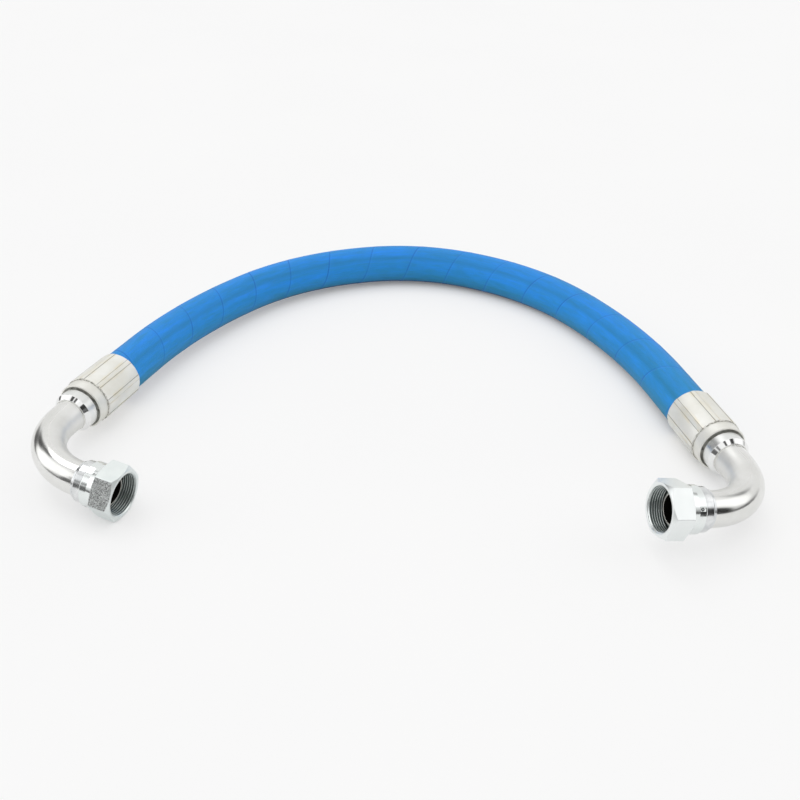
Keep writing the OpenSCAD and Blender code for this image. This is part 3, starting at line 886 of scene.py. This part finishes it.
def ferrule_zinc():
    """Matt plating. u is the distance along the ferrule's section in metres, v goes round it."""
    m = zinc("matt_zinc", (0.80, 0.79, 0.73), (0.90, 0.90, 0.87), (0.48, 0.60), cloud=30.0)
    nt, sh = m.node_tree, shader(m)
    sh.inputs["Metallic"].default_value = 0.85
    tc = nt.nodes.new("ShaderNodeTexCoord")
    u, v, _ = split(nt, tc.outputs["UV"])
    # the two fine lines that edge each strip between the dies
    shift = 0.5 - DIE_CLOCK * DIE_COUNT / 360
    f = sums(nt, "FRACT", sums(nt, "ADD", times(nt, v, float(DIE_COUNT)), shift))
    d = sums(nt, "ABSOLUTE", sums(nt, "SUBTRACT", f, 0.5))
    on_crimp = sums(nt, "LESS_THAN", u, 0.0488)
    edge = times(nt, line(nt, d, 0.125, 0.020), on_crimp)
    tint = times(nt, line(nt, d, 0.125, 0.16), on_crimp)
    patch = noise(nt, tc.outputs["UV"], 1.0, 3, 0.6, stretch=(60, 30, 1))
    tint = times(nt, tint, ramp(nt, patch, [(0.45, grey(0.0)), (0.62, grey(1.0))]))
    old = sh.inputs["Base Color"].links[0].from_socket
    col = blend(nt, times(nt, tint, 0.5), old, (0.80, 0.70, 0.46))
    col = blend(nt, times(nt, edge, 0.85), col, (0.16, 0.15, 0.12))
    # nicks at the step where the dies ended
    nick = noise(nt, tc.outputs["UV"], 1.0, 3, 0.7, stretch=(900, 55, 1))
    nick = ramp(nt, nick, [(0.46, grey(0.0)), (0.56, grey(1.0))])
    nick = times(nt, nick, line(nt, u, 0.0497, 0.0016))
    col = blend(nt, times(nt, nick, 0.9), col, (0.16, 0.14, 0.11))
    # painted shade: the dish in front of the nose is darkened, in patches
    dish = times(nt, sums(nt, "GREATER_THAN", u, 0.0619), sums(nt, "LESS_THAN", u, 0.0685))
    dish_shade_patches = noise(nt, tc.outputs["UV"], 1.0, 3, 0.6, stretch=(200, 14, 1))
    dish_shade_patches = ramp(nt, dish_shade_patches, [(0.40, grey(0.30)), (0.60, grey(1.0))])
    dish = times(nt, dish, dish_shade_patches)
    col = blend(nt, times(nt, dish, 0.8), col, (0.17, 0.165, 0.145))
    nt.links.new(col, sh.inputs["Base Color"])
    return m


# Heights of the plating's grain, in metres
SMOOTH, SATIN, FINE, ROUGH = 0.000003, 0.000004, 0.000006, 0.00001


def tube_zinc():
    """Bright outside the bend, and satin on its inner side, where the wall was upset."""
    m = zinc("bright_zinc", (0.76, 0.76, 0.735), (0.86, 0.86, 0.845), (0.12, 0.19), grain_bump=FINE)
    nt, sh = m.node_tree, shader(m)
    tc = nt.nodes.new("ShaderNodeTexCoord")
    _, v, _ = split(nt, tc.outputs["UV"])
    inner = line(nt, v, 0.75, 0.30)
    inner = ramp(nt, inner, [(0.0, grey(0.0)), (0.5, grey(1.0))])
    old = sh.inputs["Roughness"].links[0].from_socket
    nt.links.new(blend(nt, inner, old, grey(0.44)), sh.inputs["Roughness"])
    return m


def grained_flat():
    """One flat of the left nut came out of the plating with a coarse grain."""
    m = zinc("grained_zinc", (0.86, 0.89, 0.88), (0.95, 0.98, 0.97), (0.30, 0.40), 1000, 0.0005)
    nt, sh = m.node_tree, shader(m)
    tc = nt.nodes.new("ShaderNodeTexCoord")
    speck = noise(nt, tc.outputs["Object"], 1100, 2, 0.7)
    speck = ramp(nt, speck, [(0.38, grey(0.22)), (0.50, grey(0.62)), (0.62, grey(0.95))])
    old = sh.inputs["Base Color"].links[0].from_socket
    nt.links.new(blend(nt, 1.0, old, speck, "MULTIPLY"), sh.inputs["Base Color"])
    return m


def plain(name, lo, hi, rough, metal=0.0, scale=120.0):
    m, nt, sh = material(name)
    tc = nt.nodes.new("ShaderNodeTexCoord")
    obj = tc.outputs["Object"]
    sh.inputs["Metallic"].default_value = metal
    nt.links.new(ramp(nt, noise(nt, obj, scale, 4), [(0.3, lo), (0.7, hi)]), sh.inputs["Base Color"])
    nt.links.new(
        ramp(nt, noise(nt, obj, scale * 2), [(0.3, grey(rough * 0.85)), (0.7, grey(rough * 1.15))]),
        sh.inputs["Roughness"],
    )
    bump(nt, sh, noise(nt, obj, scale * 8, 3), 0.3, 0.0001)
    return m


M_FERRULE = ferrule_zinc()
M_TUBE = tube_zinc()
M_TURNED = zinc("turned_zinc", (0.84, 0.85, 0.84), (0.92, 0.92, 0.915), (0.06, 0.12), grain_bump=SMOOTH)
M_NOSE = zinc("nose_zinc", (0.80, 0.79, 0.74), (0.90, 0.89, 0.84), (0.40, 0.50), grain_bump=SMOOTH)
M_COLLAR = zinc("collar_zinc", (0.80, 0.815, 0.80), (0.88, 0.885, 0.875), (0.26, 0.34), grain_bump=SATIN)
# painted shade: near-black zinc for the bores of the tube and the nipple, which lie in shade
M_BORE_PAINTED_SHADE = zinc("bore_painted_shade", (0.035, 0.034, 0.028), (0.06, 0.058, 0.05), (0.45, 0.6), grain_bump=SMOOTH)
M_NUTS = {
    "left": zinc("satin_zinc_left", (0.76, 0.81, 0.80), (0.83, 0.87, 0.86), (0.28, 0.34), 1500, FINE),
    "right": zinc("satin_zinc_right", (0.87, 0.905, 0.895), (0.91, 0.935, 0.93), (0.28, 0.34), 1500, SATIN),
}
M_GRAIN = grained_flat()
M_NECK = zinc("bright_nut_zinc", (0.80, 0.84, 0.83), (0.88, 0.91, 0.90), (0.10, 0.16), grain_bump=SATIN)
# painted shade: dark zinc for the thread in the nut and the nipple's flank inside it
M_THREAD_PAINTED_SHADE = zinc("thread_painted_shade", (0.17, 0.20, 0.195), (0.27, 0.31, 0.30), (0.30, 0.40), grain_bump=ROUGH)
# painted light and shade: the thread's crests, lighter than its flanks but darker than the nut
M_CREST_PAINTED_LIGHTER_SHADE = zinc("crest_painted_lighter_shade", (0.46, 0.50, 0.49), (0.60, 0.64, 0.63), (0.24, 0.34), grain_bump=ROUGH)
M_RING = zinc("ring_zinc", (0.64, 0.66, 0.67), (0.86, 0.87, 0.87), (0.12, 0.20), 900.0, SATIN, 150.0)
M_BLUE = hose_blue()
M_RUBBER = plain("inner_rubber", (0.012, 0.012, 0.014), (0.03, 0.03, 0.034), 0.6)
M_BRAID = plain("braid_wire", (0.45, 0.41, 0.32), (0.66, 0.62, 0.52), 0.35, metal=1.0, scale=700)
M_BRAZE = plain("braze_filler", (0.74, 0.74, 0.70), (0.84, 0.84, 0.81), 0.25, metal=1.0, scale=200)
M_SEAL = plain("seal_rubber", (0.01, 0.01, 0.011), (0.02, 0.02, 0.021), 0.4)
M_WIRE = plain("spring_wire", (0.5, 0.5, 0.49), (0.62, 0.62, 0.61), 0.25, metal=1.0, scale=300)

# ------------------------------------------------------------------ putting it together


def dress(o, mat, slot, body, *nodes):
    o.data.materials.clear()
    o.data.materials.append(mat)
    if nodes:
        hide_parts(*nodes)
    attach(o, body)
    return o


hose, hose_path, hose_length = make_hose()
dress(hose, M_BLUE, "cover_rubber", "hose_assembly", "hose_cover")

SIDES = ("left", "right")
for side in SIDES:
    dress(make_ferrule(side), M_FERRULE, "ferrule_zinc", "hose_assembly", f"{side}_ferrule")
    tail = make_tail(side)
    dress(tail, M_TURNED, "turned_zinc", "hose_assembly", f"{side}_hose_tail")
    finish_tail(tail, side)
    elbow = make_elbow(side)
    dress(elbow, M_TUBE, "tube_zinc", "hose_assembly", f"{side}_elbow_tube")
    finish_elbow(elbow)
    for fillet in make_fillets(side):
        dress(fillet, M_BRAZE, "braze", "hose_assembly", f"{side}_braze_fillets")
    nipple = make_nipple(side)
    dress(nipple, M_TURNED, "turned_zinc", "hose_assembly", f"{side}_cone_nipple")
    finish_nipple(nipple, side)
    nut = make_nut(side)
    cut_wire_hole(nut, side)
    dress(nut, M_NUTS[side], "nut_zinc", f"{side}_nut", f"{side}_swivel_nut")
    finish_nut(nut, side)
    dress(make_wire(side), M_WIRE, "spring_wire", "hose_assembly", f"{side}_thrust_wire")

# The CAD nodes that the scene shows as they are
CARRIED = {
    "hose_inner_tube": M_RUBBER,
    "hose_middle_rubber": M_RUBBER,
    "hose_inner_braid": M_BRAID,
    "hose_outer_braid": M_BRAID,
    **{f"{side}_seal_ring": M_SEAL for side in SIDES},
}
for name, mat in CARRIED.items():
    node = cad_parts[name]
    node.data.materials.clear()
    node.data.materials.append(mat)

# ------------------------------------------------------------------ floor, light and sky


def make_floor():
    """White paper. The camera and mirrors see part of it as a glow, so that it comes out white, with a
    painted contact shadow where something lies close above it.
    """
    bpy.ops.mesh.primitive_plane_add(size=12, location=(0, 0, -0.0006))
    floor = bpy.context.object
    floor.name = "floor"
    m, nt, sh = material("floor_white")
    tc = nt.nodes.new("ShaderNodeTexCoord")
    paper = noise(nt, tc.outputs["Object"], 3.0, 2)
    paper = ramp(nt, paper, [(0.3, (0.90, 0.90, 0.905)), (0.7, (0.93, 0.93, 0.93))])
    nt.links.new(paper, sh.inputs["Base Color"])
    sh.inputs["Roughness"].default_value = 0.55
    sh.inputs["Specular IOR Level"].default_value = 0.2
    glow = nt.nodes.new("ShaderNodeEmission")
    glow.inputs["Color"].default_value = (0.975, 0.975, 0.973, 1)
    rays = nt.nodes.new("ShaderNodeLightPath").outputs
    # painted contact shadow: the glow fades where something lies close above the floor
    near = nt.nodes.new("ShaderNodeAmbientOcclusion")
    near.samples = 8
    near.inputs["Distance"].default_value = 0.022
    painted_contact_shadow = [(0.0, grey(0.08)), (0.45, grey(0.74)), (0.9, grey(1.0))]
    seen = times(nt, times(nt, rays["Is Camera Ray"], 0.68), ramp(nt, near.outputs["AO"], painted_contact_shadow))
    mirrored = times(nt, rays["Is Glossy Ray"], 0.42)
    mix = nt.nodes.new("ShaderNodeMixShader")
    nt.links.new(sums(nt, "MAXIMUM", seen, mirrored), mix.inputs[0])
    nt.links.new(sh.outputs[0], mix.inputs[1])
    nt.links.new(glow.outputs[0], mix.inputs[2])
    out = next(n for n in nt.nodes if n.type == "OUTPUT_MATERIAL")
    nt.links.new(mix.outputs[0], out.inputs[0])
    floor.data.materials.append(m)


def make_sun():
    sun = bpy.data.lights.new("key", "SUN")
    sun.energy = 0.38
    sun.specular_factor = 0.0
    sun.angle = math.radians(32)
    key = bpy.data.objects.new("key", sun)
    scene.collection.objects.link(key)
    key.rotation_euler = (math.radians(-20), math.radians(-20), 0)


# Soft boxes (above 1) and dark gaps (below 1): azimuth, elevation, radius, soft edge, brightness
PANELS = (
    (9, 30, 18, 5, 1.30),
    (177, 22, 20, 5, 1.28),
    (-163, 36, 20, 5, 1.28),
    (-72, 72, 16, 5, 1.15),
    (-142, 66, 7, 2, 0.04),
    (-127, 31, 8, 3, 0.04),
    (-137, 10, 11, 4, 0.14),
    (150, 63, 11, 5, 0.45),
    (147, 46, 8, 5, 0.12),
    (147, 30, 9, 5, 0.10),
    (147, 12, 9, 5, 0.14),
    (152, 0, 10, 4, 0.10),
    (-31, 15, 14, 5, 0.03),
    (-48, 28, 11, 3, 0.04),
    (44, 30, 6, 3, 0.35),
    (-17, 62, 8, 3, 0.05),
    (-16, 42, 8, 3, 1.25),
    (-97, 66, 5, 2, 0.05),
)


def spot(nt, look, sky, azimuth, elevation, radius, edge, value):
    """A soft box or a dark gap of the studio, seen at the given angles in degrees."""
    a, e = math.radians(azimuth), math.radians(elevation)
    dot = nt.nodes.new("ShaderNodeVectorMath")
    dot.operation = "DOT_PRODUCT"
    nt.links.new(look, dot.inputs[0])
    dot.inputs[1].default_value = (math.cos(e) * math.cos(a), math.cos(e) * math.sin(a), math.sin(e))
    mr = nt.nodes.new("ShaderNodeMapRange")
    mr.interpolation_type = "SMOOTHSTEP"
    nt.links.new(dot.outputs["Value"], mr.inputs["Value"])
    mr.inputs["From Min"].default_value = math.cos(math.radians(radius + edge))
    mr.inputs["From Max"].default_value = math.cos(math.radians(max(0.0, radius - edge)))
    return blend(nt, mr.outputs["Result"], sky, grey(value))


def make_sky():
    """A studio: a dome that darkens to the horizon, white paper behind, soft boxes and dark gaps."""
    world = bpy.data.worlds.new("studio")
    scene.world = world
    world.use_nodes = True
    nt = world.node_tree
    nt.nodes.clear()
    out = nt.nodes.new("ShaderNodeOutputWorld")
    bg = nt.nodes.new("ShaderNodeBackground")
    nt.links.new(bg.outputs[0], out.inputs[0])
    look = nt.nodes.new("ShaderNodeTexCoord").outputs["Generated"]
    _, y, z = split(nt, look)
    dome = [
        (0.0, grey(0.10)),
        (0.09, grey(0.16)),
        (0.16, grey(0.70)),
        (0.45, grey(0.92)),
        (0.75, grey(1.0)),
        (1.0, grey(1.0)),
    ]
    back = ramp(nt, y, [(0.25, grey(0.0)), (0.6, grey(1.0))])
    sky = blend(nt, back, ramp(nt, z, dome), (0.88, 0.88, 0.875))
    for panel in PANELS:
        sky = spot(nt, look, sky, *panel)
    rays = nt.nodes.new("ShaderNodeLightPath").outputs
    sky = blend(nt, rays["Is Camera Ray"], sky, (0.985, 0.985, 0.985))
    nt.links.new(sky, bg.inputs["Color"])
    bg.inputs["Strength"].default_value = 1.0


make_floor()
make_sun()
make_sky()

scene.view_settings.view_transform = "Standard"
scene.view_settings.look = "None"
scene.view_settings.exposure = 0
scene.view_settings.gamma = 1

bpy.context.view_layer.update()
